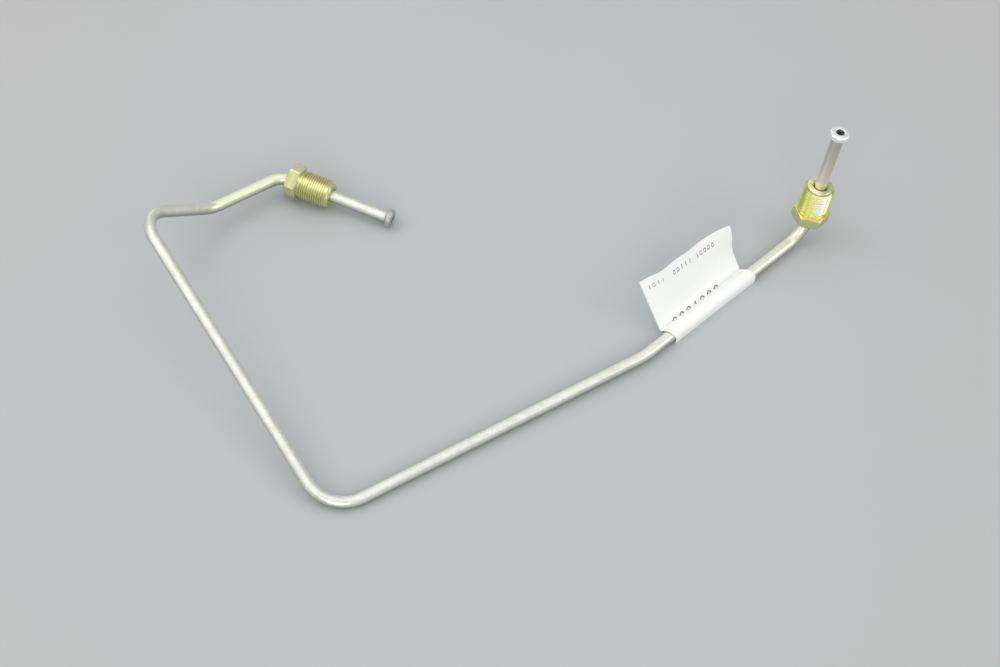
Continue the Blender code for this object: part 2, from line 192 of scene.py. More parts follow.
def newGroup(name, values, output):
    # a group takes a vector and the named values, and gives one value
    tree = bpy.data.node_groups.new(name, "ShaderNodeTree")
    sockets = tree.interface
    sockets.new_socket(name="Vector", in_out="INPUT", socket_type="NodeSocketVector")
    for key, value in values.items():
        kind = "NodeSocketVector" if isinstance(value, tuple) else "NodeSocketFloat"
        sockets.new_socket(name=key, in_out="INPUT", socket_type=kind).default_value = value
    sockets.new_socket(name=output, in_out="OUTPUT", socket_type="NodeSocketFloat")
    return tree, tree.nodes.new("NodeGroupInput").outputs, tree.nodes.new("NodeGroupOutput").inputs[output]


def useGroup(tree, group, spot, vector, values):
    return addNode(tree, "ShaderNodeGroup", spot, {"Vector": vector, **values}, node_tree=group).outputs[0]


def makeBlotches():
    # soft patches in a plated or painted skin
    tree, given, mask = newGroup("skinBlotches", {"Scale": 200.0, "Low": 0.4, "High": 0.6}, "Mask")
    cloud = addNode(tree, "ShaderNodeTexNoise", (1, 0), {
        "Vector": given["Vector"], "Scale": given["Scale"], "Detail": 4.0, "Roughness": 0.55})
    tree.links.new(mapRange(tree, (2, 0), cloud.outputs["Fac"], given["Low"], given["High"]), mask)
    return tree


def makeFineLines():
    # drawing or turning lines: noise pulled out along one way
    tree, given, height = newGroup("fineLines", {"Stretch": (1.0, 1.0, 1.0), "Scale": 1000.0}, "Height")
    pull = addNode(tree, "ShaderNodeVectorMath", (1, 0), {0: given["Vector"], 1: given["Stretch"]},
                   operation="MULTIPLY")
    grain = addNode(tree, "ShaderNodeTexNoise", (2, 0), {
        "Vector": pull.outputs["Vector"], "Scale": given["Scale"], "Detail": 3.0, "Roughness": 0.6})
    tree.links.new(grain.outputs["Fac"], height)
    return tree


def makeSpecks():
    # small pits and specks, each of its own strength, most of them faint
    tree, given, mask = newGroup("tinySpecks", {"Scale": 900.0, "Size": 0.2}, "Mask")
    cells = addNode(tree, "ShaderNodeTexVoronoi", (1, 0), {
        "Vector": given["Vector"], "Scale": given["Scale"]})
    near = mapRange(tree, (2, 0), cells.outputs["Distance"], 0.0, given["Size"], 1.0, 0.0, kind="LINEAR")
    split = addNode(tree, "ShaderNodeSeparateColor", (2, 1), {"Color": cells.outputs["Color"]})
    strength = calc(tree, (3, 1), "POWER", split.outputs["Red"], 4.0)
    tree.links.new(calc(tree, (4, 0), "MULTIPLY", near, strength), mask)
    return tree


skinBlotches = makeBlotches()
fineLines = makeFineLines()
tinySpecks = makeSpecks()
print("shared surface effects made")


# Pipe: bend sheet, flared heads and plated finish.
pipe = {
    "lowestCorner": (-60.7 * mm, -79.8 * mm),
    "toFlatEnd": [      # length in mm, heading and rise in degrees
        (141.1, 123.8, 12.9),
        (39.2, 41.0, -37.8),
        (32.0, 33.2, -2.6),
        (49.8, -22.1, -5.27),
    ],
    "toUprightEnd": [
        (136.9, 30.0, 0.2),
        (89.7, 41.5, 0.0),
        (57.6, 39.4, 81.5),
    ],
    "bendRadii": [10.0 * mm, 12.0 * mm, 12.0 * mm, 15.5 * mm, 25.0 * mm, 11.5 * mm],
    "radius": 2.375 * mm,
    "wall": 0.7 * mm,
    "flareRadius": 3.9 * mm,
    "flareRim": 1.4 * mm,
    "flareNose": 0.8 * mm,      # domed front of the head, down to its flat mouth
    "mouthRadius": 2.3 * mm,
    "flareBackAngle": 60.0,
    "neckRounding": 0.5 * mm,
    "rimRounding": 0.25 * mm,
    "mouthRounding": 0.08 * mm,
    "boreChamfer": 0.22 * mm,
    "headSleeve": 1.2 * mm,     # plain pipe that is made together with each head
    "squeezeInBends": 0.03,     # share by which a bend pulls the section in
    "sides": 48,
    "bendStep": 3.0,            # degrees
    "runStep": 4.0 * mm,
    "edgeSteps": 5,
    "domeSteps": 8,
    "mergeGap": 1e-7,
    "sharpAngle": 40.0,
}

pipeFinish = {
    "bright": (0.90, 0.91, 0.815, 1.0),
    "dull": (0.76, 0.76, 0.67, 1.0),
    "speck": (0.30, 0.29, 0.24, 1.0),
    "paintedUndersideShade": (0.36, 0.37, 0.31, 1.0),   # painted shade: a darker tone on the side that faces down
    "bareSteel": (0.97, 0.98, 0.94, 1.0),   # flared heads
    "boreOxide": (0.55, 0.55, 0.52, 1.0),
    "blotches": {"Scale": 130.0, "Low": 0.38, "High": 0.66},
    "mottle": {"Scale": 620.0, "Low": 0.34, "High": 0.66},
    "mottleShare": 0.55,
    "specks": {"Scale": 520.0, "Size": 0.16},
    "speckShare": 0.55,
    "bareHeads": (0.2, 1.0),        # share of bare steel on the flat and on the upright head; the flat head's small share leaves it mostly under its painted shade
    "bareFrom": 1.03,               # pipe radii at which the bare steel of a head begins
    "shadeFacing": (0.55, -0.25),    # how far up a side faces where the painted shade begins, and where it is full
    "shadeEnds": (0.478, 0.500),     # metres along the pipe where it fades, below the standing end
    "drawingLines": {"Stretch": (0.02, 1.0, 1.0), "Scale": 2600.0},
    "roughness": (0.27, 0.41),
    "bump": 0.12,
    "metallic": 0.9,
}

tints = [   # tones of the plating along the pipe, and before them a painted shade over the flat end's head: where each comes in and goes out, in metres
    # painted shade: the flat end's head is made a darker grey
    {"tone": (0.40, 0.41, 0.42, 1.0), "comesIn": (-0.02, -0.01), "goesOut": (0.0085, 0.0105)},
    {"tone": (0.86, 0.89, 0.66, 1.0), "comesIn": (0.048, 0.058), "goesOut": (0.084, 0.104)},
    {"tone": (0.90, 0.865, 0.71, 1.0), "comesIn": (0.435, 0.478), "goesOut": (0.60, 0.61)},
    {"tone": (0.92, 0.85, 0.72, 1.0), "comesIn": (0.492, 0.504), "goesOut": (0.60, 0.61)},
    {"tone": (0.56, 0.55, 0.45, 1.0), "comesIn": (0.512, 0.542), "goesOut": (0.60, 0.61)},
]


def runDirection(heading, rise):
    plan = math.radians(heading)
    lift = math.radians(rise)
    return Vector((math.cos(plan) * math.cos(lift), math.sin(plan) * math.cos(lift), math.sin(lift)))


def walkRuns(start, runs):
    corners = [start]
    for length, heading, rise in runs:
        corners.append(corners[-1] + length * mm * runDirection(heading, rise))
    return corners


def bendCorners():
    lowest = Vector((*pipe["lowestCorner"], pipe["radius"]))
    return walkRuns(lowest, pipe["toFlatEnd"])[::-1] + walkRuns(lowest, pipe["toUprightEnd"])[1:]


def bendReach(before, corner, after, radius):
    return radius * math.tan((corner - before).angle(after - corner) / 2)


def pipeStations():
    # places along the centreline: point, way along the pipe, how near the middle of a bend (1) it lies,
    # and the way to the bend's outer side
    corners = bendCorners()
    firstWay = (corners[1] - corners[0]).normalized()
    stations = [(corners[0], firstWay, 0.0, firstWay)]

    def runTo(point, way):
        start = stations[-1][0]
        steps = max(1, round((point - start).length / pipe["runStep"]))
        for step in range(1, steps):
            stations.append((start.lerp(point, step / steps), way, 0.0, way))

    for index, radius in enumerate(pipe["bendRadii"], start=1):
        before, corner, after = corners[index - 1:index + 2]
        wayIn = (corner - before).normalized()
        wayOut = (after - corner).normalized()
        turn = wayIn.angle(wayOut)
        reach = bendReach(before, corner, after, radius)
        axis = wayIn.cross(wayOut).normalized()
        start = corner - wayIn * reach
        centre = corner + (wayOut - wayIn).normalized() * radius / math.cos(turn / 2)
        runTo(start, wayIn)
        steps = max(2, round(math.degrees(turn) / pipe["bendStep"]))
        for step in range(steps + 1):
            swing = Matrix.Rotation(turn * step / steps, 3, axis)
            inBend = math.sin(math.pi * step / steps)
            point = centre + swing @ (start - centre)
            stations.append((point, swing @ wayIn, inBend, (point - centre).normalized()))
    lastWay = (corners[-1] - corners[-2]).normalized()
    runTo(corners[-1], lastWay)
    stations.append((corners[-1], lastWay, 0.0, lastWay))
    return stations


def pipeSections():
    # each station with a side vector that doesn't twist along the pipe, and the distance along it
    sections = []
    stations = pipeStations()
    before, wayBefore = stations[0][:2]
    side = wayBefore.cross(up).normalized()
    travelled = 0.0
    for point, way, inBend, outward in stations:
        side = wayBefore.rotation_difference(way) @ side
        side = (side - way * side.dot(way)).normalized()
        travelled += (point - before).length
        sections.append((point, way, inBend, outward, side, travelled))
        before, wayBefore = point, way
    return sections


def flareRings():
    # (radius, distance back from the tip) from the pipe's own radius out over the head to the bore
    backSlope = math.tan(math.radians(pipe["flareBackAngle"]))
    headLength = pipe["flareNose"] + pipe["flareRim"]
    neck = headLength + (pipe["flareRadius"] - pipe["radius"]) / backSlope
    bore = pipe["radius"] - pipe["wall"]
    back = roundedProfile([
        (pipe["radius"], neck + pipe["headSleeve"], 0.0),
        (pipe["radius"], neck, pipe["neckRounding"]),
        (pipe["flareRadius"], headLength, pipe["rimRounding"]),
        (pipe["flareRadius"], pipe["flareNose"], 0.0),
    ], pipe["edgeSteps"])
    dome = []
    for step in range(1, pipe["domeSteps"] + 1):
        angle = math.pi / 2 * (1 - step / pipe["domeSteps"])
        radius = pipe["mouthRadius"] + (pipe["flareRadius"] - pipe["mouthRadius"]) * math.sin(angle)
        dome.append(Vector((radius, pipe["flareNose"] * (1 - math.cos(angle)))))
    mouth = roundedProfile([
        (pipe["mouthRadius"], 0.0, 0.0),
        (bore + pipe["boreChamfer"], 0.0, pipe["mouthRounding"]),
        (bore, pipe["boreChamfer"], pipe["mouthRounding"]),
        (bore, neck + pipe["headSleeve"], 0.0),
    ], pipe["edgeSteps"])
    return back + dome + mouth[1:]


def undersideShadeShare(spoke, along):
    # how much painted shade lies on a side, by the way that it faces and its place along the pipe
    begins, full = pipeFinish["shadeFacing"]
    fadeStart, fadeEnd = pipeFinish["shadeEnds"]
    facing = (begins - spoke.z) / (begins - full)
    fading = (fadeEnd - along) / (fadeEnd - fadeStart)
    return min(1.0, max(0.0, facing)) * min(1.0, max(0.0, fading))


def makePipeMesh():
    bore = pipe["radius"] - pipe["wall"]
    profile = flareRings()
    bm = bmesh.new()
    uv = bm.loops.layers.uv.new("pipeRun")
    bareLayer = bm.verts.layers.float.new("bareSteel")
    boreLayer = bm.verts.layers.float.new("boreOxide")
    undersideShadeLayer = bm.verts.layers.float.new("paintedUndersideShade")
    sides = pipe["sides"]

    def ring(section, radius, bare, oxide):
        point, way, inBend, outward, sideWay, along = section
        other = way.cross(sideWay)
        verts = []
        for index in range(sides):
            angle = 2 * math.pi * index / sides
            spoke = sideWay * math.cos(angle) + other * math.sin(angle)
            squeeze = 1.0 - pipe["squeezeInBends"] * inBend * spoke.dot(outward) ** 2
            vert = bm.verts.new(point + spoke * radius * squeeze)
            vert[bareLayer] = bare
            vert[boreLayer] = oxide
            vert[undersideShadeLayer] = undersideShadeShare(spoke, along)
            verts.append(vert)
        return verts

    def headRings(section, outSign, bareShare):
        (point, way), (sideWay, along) = section[:2], section[-2:]
        wayOut = way * outSign
        made = []
        for radius, back in profile:
            onHead = radius > pipe["radius"] * pipeFinish["bareFrom"] or back < pipe["flareNose"]
            inBore = radius < 1.01 * bore and back > pipe["flareNose"]
            place = (point - wayOut * back, wayOut, 0.0, wayOut, sideWay, along)
            verts = ring(place, radius, bareShare if onHead else 0.0, 1.0 if inBore else 0.0)
            if outSign < 0:
                # seen from its own tip, this head runs the other way round
                verts = [verts[0]] + verts[:0:-1]
            made.append(verts)
        return made

    sections = pipeSections()
    first, last = sections[0], sections[-1]
    headEnd = profile[0].y
    middle = [section for section in sections if headEnd < section[-1] < last[-1] - headEnd]
    outerRings = [ring(section, pipe["radius"], 0.0, 0.0) for section in middle]
    innerRings = [ring(section, bore, 0.0, 1.0) for section in middle]
    flatBare, uprightBare = pipeFinish["bareHeads"]
    farHead = headRings(last, 1, uprightBare)
    nearHead = headRings(first, -1, flatBare)
    loop = nearHead[::-1] + outerRings + farHead + innerRings[::-1]
    rows = [verts + verts[:1] for verts in loop + loop[:1]]
    around = 2 * math.pi * pipe["radius"]
    loftRows(bm, uv, rows, [around * index / sides for index in range(sides + 1)], True)
    return closeMesh("pipe_skin", bm, pipe)


def platedPipe():
    material, tree, shader, place = newMaterial("plated_pipe_finish")
    run = addNode(tree, "ShaderNodeUVMap", (-6, 1), uv_map="pipeRun").outputs["UV"]
    blotch = useGroup(tree, skinBlotches, (-4, 0), place, pipeFinish["blotches"])
    mottle = useGroup(tree, skinBlotches, (-4, 3), place, pipeFinish["mottle"])
    lines = useGroup(tree, fineLines, (-4, 1), run, pipeFinish["drawingLines"])
    specks = useGroup(tree, tinySpecks, (-4, 2), place, pipeFinish["specks"])
    uneven = addNode(tree, "ShaderNodeMix", (-3, 0), {0: pipeFinish["mottleShare"], 2: blotch, 3: mottle})
    colour = mixColour(tree, (-2, 0), uneven.outputs[0], pipeFinish["bright"], pipeFinish["dull"])

    along = addNode(tree, "ShaderNodeSeparateXYZ", (-5, -2), {"Vector": run}).outputs["X"]
    for index, tint in enumerate(tints):
        row = -2 * index - 3
        comes = mapRange(tree, (-4, row), along, *tint["comesIn"])
        goes = mapRange(tree, (-4, row - 1), along, *tint["goesOut"], 1.0, 0.0)
        share = calc(tree, (-3, row), "MULTIPLY", comes, goes)
        colour = mixColour(tree, (index - 2, -2), share, colour, tint["tone"])

    # specks, then the painted shade on the side that faces down, the heads' bare steel and the bore's oxide,
    # each laid over the tone in turn
    layers = {"speck": calc(tree, (-2, 2), "MULTIPLY", specks, pipeFinish["speckShare"])}
    for index, name in enumerate(("paintedUndersideShade", "bareSteel", "boreOxide")):
        layers[name] = attribute(tree, (index, -1), name)
    for index, (name, share) in enumerate(layers.items()):
        colour = mixColour(tree, (index, 0), share, colour, pipeFinish[name])

    rough = mapRange(tree, (-2, 1), lines, 0.0, 1.0, *pipeFinish["roughness"], kind="LINEAR")
    feed(tree, shader, {"Base Color": colour, "Metallic": pipeFinish["metallic"], "Roughness": rough,
                        "Normal": bumpFrom(tree, (-1, 2), lines, pipeFinish["bump"])})
    return material


pipePiece = newPiece("plated_pipe", makePipeMesh(), platedPipe())
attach(pipePiece, "pipe")
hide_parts("bent_tube")
print("pipe made with", len(pipePiece.data.polygons), "faces")


# Tube nuts: hexagon, relief groove, rolled thread and plain pilot.
nut = {
    "length": 19.0 * mm,
    "acrossFlats": 13.0 * mm,
    "hexLength": 5.2 * mm,
    "hexChamferAngle": 30.0,
    "hexFaceShare": 0.96,
    "hexEdgeRounding": 0.22 * mm,
    "cornerSteps": 4,
    "flatSteps": 13,
    "threadRadius": 6.0 * mm,
    "reliefRadius": 5.3 * mm,
    "reliefWidth": 0.9 * mm,
    "pilotRadius": 5.2 * mm,
    "pilotLength": 1.4 * mm,
    "threadChamfer": 0.8 * mm,
    "pilotChamfer": 0.5 * mm,
    "pitch": 1.0 * mm,
    "threadDepth": 0.6 * mm,
    "grooveStart": 5.8 * mm,    # height of the first groove's middle at angle 0
    "boreClearance": 0.3 * mm,
    "countersink": 0.8 * mm,
    "edgeRounding": 0.12 * mm,
    "edgeMiddle": 0.3,          # share of the rounding by which an edge's middle lies inside its corner
    "flatSlipOntoBend": 1.7 * mm,
    "uprightSlipOntoBend": 0.9 * mm,
    "uprightFlatHeading": -102.0,
    "mergeGap": 1e-6,
    "sharpAngle": 35.0,
}

# one turn of the thread: (share of the pitch from the groove's middle, share of the depth)
threadShape = [(-0.50, 0.0), (-0.40, 0.0), (-0.34, 0.08), (-0.05, 0.93),
               (0.0, 1.0), (0.05, 0.93), (0.34, 0.08), (0.40, 0.0)]

nutTones = {
    "tan": (0.66, 0.60, 0.31, 1.0),
    "lemon": (1.0, 1.0, 0.54, 1.0),
    "lime": (0.56, 0.60, 0.27, 1.0),
    "moss": (0.50, 0.54, 0.14, 1.0),
    "olive": (0.60, 0.62, 0.33, 1.0),
    "pale": (1.0, 0.98, 0.90, 1.0),
    "ivory": (0.93, 0.91, 0.68, 1.0),
    "gold": (1.0, 0.87, 0.16, 1.0),
    "brass": (0.88, 0.81, 0.28, 1.0),
    "butter": (1.0, 0.97, 0.44, 1.0),
    "rose": (0.86, 0.73, 0.52, 1.0),
    "clay": (0.62, 0.55, 0.34, 1.0),
    "cream": (0.61, 0.61, 0.31, 1.0),
    "bronze": (0.46, 0.42, 0.26, 1.0),
    "umber": (0.41, 0.41, 0.19, 1.0),
    "grooveDark": (0.26, 0.26, 0.10, 1.0),
}

# tones of the plating round each nut, with painted highlights and painted shade where light falls in this
# view: degrees from the corner that the nut is placed by
plateAndPaintedLightTones = {
    "flat_end_nut": {
        # lemon on the thread and shoulder and the ivory line on the hexagon are painted highlights; tan above
        # and umber below are painted shade
        "thread": [(0, "olive"), (110, "tan"), (176, "tan"), (190, "lemon"), (208, "lemon"), (223, "lime"),
                   (266, "lime"), (290, "umber"), (320, "umber")],
        "hexagon": [(30, "olive"), (90, "cream"), (135, "rose"), (176, "rose"), (179.5, "ivory"),
                    (180.5, "ivory"), (184, "cream"), (230, "cream"), (266, "olive"), (290, "umber"),
                    (320, "umber")],
        "shoulder": [(0, "olive"), (120, "clay"), (175, "cream"), (200, "lemon"), (225, "cream"),
                     (290, "olive")],
        "ring": [(0, "lime"), (200, "cream")],
    },
    "upright_end_nut": {
        # pale from 342 round to 3 degrees is a painted highlight, the olive just beside it a painted dark
        # line, and the ivory and butter on the ring's near side painted highlights
        "thread": [(0, "pale"), (3, "pale"), (9, "olive"), (14, "olive"), (20, "lemon"), (31, "lemon"),
                   (44, "moss"), (90, "olive"), (230, "olive"), (262, "moss"), (286, "moss"), (310, "brass"),
                   (328, "butter"), (342, "pale")],
        "hexagon": [(30, "olive"), (150, "cream"), (210, "clay"), (270, "clay"), (310, "olive")],
        "shoulder": [(0, "gold")],
        "ring": [(0, "olive"), (110, "olive"), (215, "ivory"), (250, "butter"), (285, "butter"),
                 (325, "ivory"), (345, "olive")],
    },
}

nutFinish = {
    "film": {"Scale": 330.0, "Detail": 3.0, "Roughness": 0.55, "Distortion": 0.8},
    # thicker film turns rose and thinner film green: where each begins and is full, as the film's noise
    "patches": [(0.50, 0.72, "rose"), (0.50, 0.28, "lime")],
    "patchShare": 0.34,
    "grooveDarkShare": 0.15,
    "blotches": {"Scale": 420.0, "Low": 0.35, "High": 0.65},
    "turningLines": {"Stretch": (0.03, 1.0, 1.0), "Scale": 5200.0},
    "roughness": (0.17, 0.29),
    "bump": 0.2,
    "metallic": 0.7,
}


def plateAndPaintedLightTone(zone, angle, tones):
    if zone not in tones:
        return Vector(nutTones[zone])
    stops = tones[zone]
    here = math.degrees(angle) % 360
    if here < stops[0][0]:
        here += 360
    lap = stops + [(stops[0][0] + 360, stops[0][1])]
    for (low, first), (high, second) in zip(lap, lap[1:]):
        if here <= high:
            break
    return Vector(nutTones[first]).lerp(Vector(nutTones[second]), (here - low) / (high - low))


def hexFlatEnd():
    # angle from the middle of a flat to where its rounded corner begins
    half = nut["acrossFlats"] / 2
    return math.atan((half - nut["hexEdgeRounding"]) * math.tan(math.radians(30)) / half)


def hexAngles():
    # angles round the nut, close together where the hexagon's corners are rounded; 0 is a corner
    flatEnd = hexFlatEnd()
    gap = math.radians(60) - 2 * flatEnd
    angles = []
    for sector in range(6):
        middle = math.radians(60 * sector + 30)
        for step in range(nut["flatSteps"]):
            angles.append(middle - flatEnd + 2 * flatEnd * step / (nut["flatSteps"] - 1))
        for step in range(1, nut["cornerSteps"]):
            angles.append(middle + flatEnd + gap * step / nut["cornerSteps"])
    return angles


def hexRadius(angle):
    half = nut["acrossFlats"] / 2
    rounding = nut["hexEdgeRounding"]
    fromMiddle = abs(math.radians((math.degrees(angle) % 60) - 30))
    if fromMiddle <= hexFlatEnd() + 1e-6:
        return half / math.cos(fromMiddle)
    centre = (half - rounding) / math.cos(math.radians(30))
    fromCorner = math.radians(30) - fromMiddle
    return centre * math.cos(fromCorner) + math.sqrt(rounding ** 2 - (centre * math.sin(fromCorner)) ** 2)


def threadLimit(height, start, end):
    # both ends of the thread run out on a chamfer
    radius = nut["threadRadius"]
    fromStart = nut["reliefRadius"] + (height - start) * (radius - nut["reliefRadius"]) / nut["threadChamfer"]
    fromEnd = nut["pilotRadius"] + (end - height) * (radius - nut["pilotRadius"]) / nut["threadChamfer"]
    return min(radius, fromStart, fromEnd)


def threadRows(turns, start, end):
    # rows along the helix: the (radius, height) of each row's points, and how deep in the groove it lies
    rows = []
    for turn in range(-1, math.ceil((end - start) / nut["pitch"]) + 1):
        for share, depth in threadShape:
            places = []
            for angle in turns:
                height = nut["grooveStart"] + (turn + share + angle / (2 * math.pi)) * nut["pitch"]
                height = min(max(height, start), end)
                radius = nut["threadRadius"] - depth * nut["threadDepth"]
                places.append((min(radius, threadLimit(height, start, end)), height))
            rows.append((places, depth))
    return rows


def makeNutMesh(placement, tones):
    angles = hexAngles()
    turns = angles + [angles[0] + 2 * math.pi]
    bm = bmesh.new()
    depthLayer = bm.verts.layers.float.new("grooveDepth")
    plateAndLightLayer = bm.verts.layers.float_color.new("plateAndPaintedLight")
    uv = bm.loops.layers.uv.new("nutTurning")
    rows = []

    def addRow(places, zone, depth=0.0):
        row = []
        for angle, (radius, height) in zip(turns, places):
            vert = bm.verts.new((radius * math.cos(angle), radius * math.sin(angle), height))
            vert[depthLayer] = depth
            vert[plateAndLightLayer] = plateAndPaintedLightTone(zone, angle, tones)
            row.append(vert)
        rows.append(row)

    def addCircles(zone, circles):
        # circles are (radius, height, depth in a groove)
        for radius, height, depth in circles:
            addRow([(radius, height)] * len(turns), zone, depth)

    tip, hexLength, edge = nut["length"], nut["hexLength"], nut["edgeRounding"]
    bore = pipe["radius"] + nut["boreClearance"]
    mouth = bore + nut["countersink"]
    face = nut["acrossFlats"] / 2 * nut["hexFaceShare"]
    slope = math.tan(math.radians(nut["hexChamferAngle"]))
    sunk = nut["edgeMiddle"] * edge

    def addHexRow(inset, height, rear):
        # a row on the hexagon, let down by the chamfer where it reaches out past the face circle
        places = []
        for angle in turns:
            radius = hexRadius(angle) - inset
            drop = max(0.0, radius - face) * slope + height
            places.append((radius, drop if rear else hexLength - drop))
        addRow(places, "hexagon")

    addCircles("bronze", [(bore, tip / 2, 1.0), (bore, nut["countersink"], 0.6)])
    addCircles("olive", [(mouth, 0.0, 0.0), (face - 2 * edge, 0.0, 0.0), (face, sunk / 2, 0.0)])
    roundEdge = [(edge, 0.0), (sunk, sunk), (0.0, edge)]
    for inset, height in roundEdge:
        addHexRow(inset, height, True)
    for inset, height in roundEdge[::-1]:
        addHexRow(inset, height, False)

    relief, pilot, chamfer = nut["reliefRadius"], nut["pilotRadius"], nut["pilotChamfer"]
    start = hexLength + nut["reliefWidth"]
    end = tip - nut["pilotLength"]
    addCircles("shoulder", [
        (face, hexLength - sunk / 2, 0.0), (face - 2 * edge, hexLength, 0.0),
        (relief + 3 * edge, hexLength, 0.0), (relief + edge, hexLength, 0.3),
        (relief, hexLength + edge, 0.7), (relief, start, 0.6)])
    for places, depth in threadRows(turns, start, end):
        addRow(places, "thread", depth)
    addCircles("lime", [(pilot, end, 0.7), (pilot, end + 2 * edge, 0.0), (pilot, tip - chamfer - edge, 0.0)])
    addCircles("ring", [
        (pilot - sunk, tip - chamfer, 0.0), (pilot - chamfer, tip - sunk, 0.0),
        (pilot - chamfer - edge, tip, 0.0), (mouth, tip, 0.0), (mouth - 2 * edge, tip - 2 * edge, 0.0),
        (bore, tip - nut["countersink"], 0.0)])
    addCircles("bronze", [(bore, tip / 2, 1.0)])

    loftRows(bm, uv, rows, [turn * nut["threadRadius"] for turn in turns], False)
    mesh = closeMesh("nut_skin", bm, nut)
    mesh.transform(placement)
    return mesh


def yellowPassivate():
    material, tree, shader, place = newMaterial("yellow_plate_finish")
    turning = addNode(tree, "ShaderNodeUVMap", (-6, 3), uv_map="nutTurning").outputs["UV"]
    film = addNode(tree, "ShaderNodeTexNoise", (-6, 0), {"Vector": place, **nutFinish["film"]}).outputs["Fac"]
    # plating tones with their painted highlights and painted shade, from the nut's mesh
    colour = attribute(tree, (-5, 1), "plateAndPaintedLight", "Color")
    for index, (begins, full, tone) in enumerate(nutFinish["patches"]):
        share = mapRange(tree, (index - 5, -1), film, begins, full, 0.0, nutFinish["patchShare"])
        colour = mixColour(tree, (index - 4, 0), share, colour, nutTones[tone])
    # darker the deeper a point lies in a groove or the bore
    share = calc(tree, (-3, 2), "MULTIPLY", attribute(tree, (-4, 2), "grooveDepth"), nutFinish["grooveDarkShare"])
    colour = mixColour(tree, (-2, 0), share, colour, nutTones["grooveDark"])

    lines = useGroup(tree, fineLines, (-4, 3), turning, nutFinish["turningLines"])
    blotch = useGroup(tree, skinBlotches, (-4, 4), place, nutFinish["blotches"])
    rough = mapRange(tree, (-2, 4), blotch, 0.0, 1.0, *nutFinish["roughness"], kind="LINEAR")
    feed(tree, shader, {"Base Color": colour, "Metallic": nutFinish["metallic"], "Roughness": rough,
                        "Normal": bumpFrom(tree, (-1, 3), lines, nutFinish["bump"])})
    return material


def nutPlacement(tip, corner, beyond, bendRadius, slip, side):
    # the nut's own z runs out along the pipe's end, and its x follows the side that is given
    way = (tip - corner).normalized()
    reach = bendReach(beyond, corner, tip, bendRadius)
    across = (side - way * side.dot(way)).normalized()
    turn = Matrix((across, way.cross(across), way)).transposed()
    return Matrix.Translation(corner + way * (reach - slip)) @ turn.to_4x4()


def makeNuts():
    corners = bendCorners()
    uprightCorner = runDirection(nut["uprightFlatHeading"] + 30.0, 0.0)
    places = {
        "flat_end_nut": ("flat_nut", nutPlacement(
            *corners[:3], pipe["bendRadii"][0], nut["flatSlipOntoBend"], -up)),
        "upright_end_nut": ("upright_nut", nutPlacement(
            *corners[:-4:-1], pipe["bendRadii"][-1], nut["uprightSlipOntoBend"], uprightCorner)),
    }
    material = yellowPassivate()
    for node, (body, placement) in places.items():
        piece = newPiece("threaded_" + node, makeNutMesh(placement, plateAndPaintedLightTones[node]), material)
        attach(piece, body)
        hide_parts(node)
        print(piece.name, "made with", len(piece.data.polygons), "faces")


makeNuts()


# Paper label: wrapped once round the pipe, its two halves stuck together as a flag.
label = {
    "paper": 0.15 * mm,
    "clearance": 0.3 * mm,
    "fromCorner": 5,            # number of the slight bend's corner, which the label starts from
    "start": 13.5 * mm,
    "width": 44.2 * mm,
    "skew": 1.4 * mm,
    "flagHeight": 22.8 * mm,
    "rootBack": 4.6 * mm,
    "rootDrop": 0.8 * mm,
    "creaseForward": 2.6 * mm,
    "leanStart": 54.0,
    "leanEnd": 67.5,
    "leanWave": 3.0,
    "curl": 16.0,
    "curlPhase": 0.1,
    "flagRows": 30,
    "columns": 72,
    "wrapSteps": 30,
    "undersideSteps": 8,
    "ripple": 0.10 * mm,
    "rippleScale": 160.0,
    "rippleFrom": 6.0 * mm,     # the ripple is full this far above the root
    "edgeRipple": 1.1 * mm,     # waves of the flag's free edge, which die away below it
    "edgeRippleScale": 110.0,
    "edgeRippleSeed": 7.3,
    "dentPlace": (20.5 * mm, 4.4 * mm),     # along the label and up from its root
    "dentReach": (7.0 * mm, 1.7 * mm),
    "dentDepth": 0.40 * mm,
    "mapStarts": (0.0, 100.0 * mm, 40.0 * mm, 140.0 * mm),  # front, back, outside and inside on the flat map
    "mergeGap": 1e-8,
    "sharpAngle": 50.0,
}

# rows of plain rings and strokes, in mm along the label and up from its root
markKeys = ("Start", "Base", "Pitch", "Count", "Height", "Seed", "Rings", "Ink")
printedRows = [
    (1.9, 17.9, 2.0, 4.0, 2.0, 3.0, 0.3, 0.75),
    (13.6, 17.6, 2.1, 5.0, 2.2, 11.0, 0.4, 0.88),
    (26.2, 17.2, 2.0, 5.0, 2.3, 37.0, 0.8, 0.88),
    (6.0, -1.6, 3.8, 7.0, 3.0, 47.0, 0.8, 0.92),
]

mark = {    # shape of one printed mark, where its height runs from -1 to 1
    "spread": 3.2,              # width of one pitch
    "ringRadius": 0.78,
    "ringStroke": 0.2,
    "uprightStroke": 0.26,
    "uprightReach": 0.95,
}

paperFinish = {
    "paper": (0.96, 0.97, 0.945, 1.0),
    "shade": (0.945, 0.955, 0.925, 1.0),
    "ink": (0.12, 0.13, 0.14, 1.0),
    "blotches": {"Scale": 90.0, "Low": 0.35, "High": 0.75},
    "fibres": {"Stretch": (1.0, 1.0, 1.0), "Scale": 3800.0},
    "roughness": 0.46,
    "bump": 0.08,
}


def lineMeet(point, firstWay, firstOffset, secondWay, secondOffset):
    # where two lines through a point cross after each moves sideways to its left
    firstStart = point + firstOffset * Vector((-firstWay.y, firstWay.x))
    secondStart = point + secondOffset * Vector((-secondWay.y, secondWay.x))
    spread = firstWay.x * secondWay.y - firstWay.y * secondWay.x
    gap = secondStart - firstStart
    return firstStart + firstWay * ((gap.x * secondWay.y - gap.y * secondWay.x) / spread)


def onCircle(radius, angle):
    return Vector((math.cos(angle), math.sin(angle))) * radius


def flagLean(along, height):
    lean = label["leanStart"] + (label["leanEnd"] - label["leanStart"]) * along
    lean += label["leanWave"] * math.sin(2 * math.pi * along)
    lean -= label["curl"] * along ** 3 * math.sin(2 * math.pi * (height + label["curlPhase"]))
    return math.radians(lean)


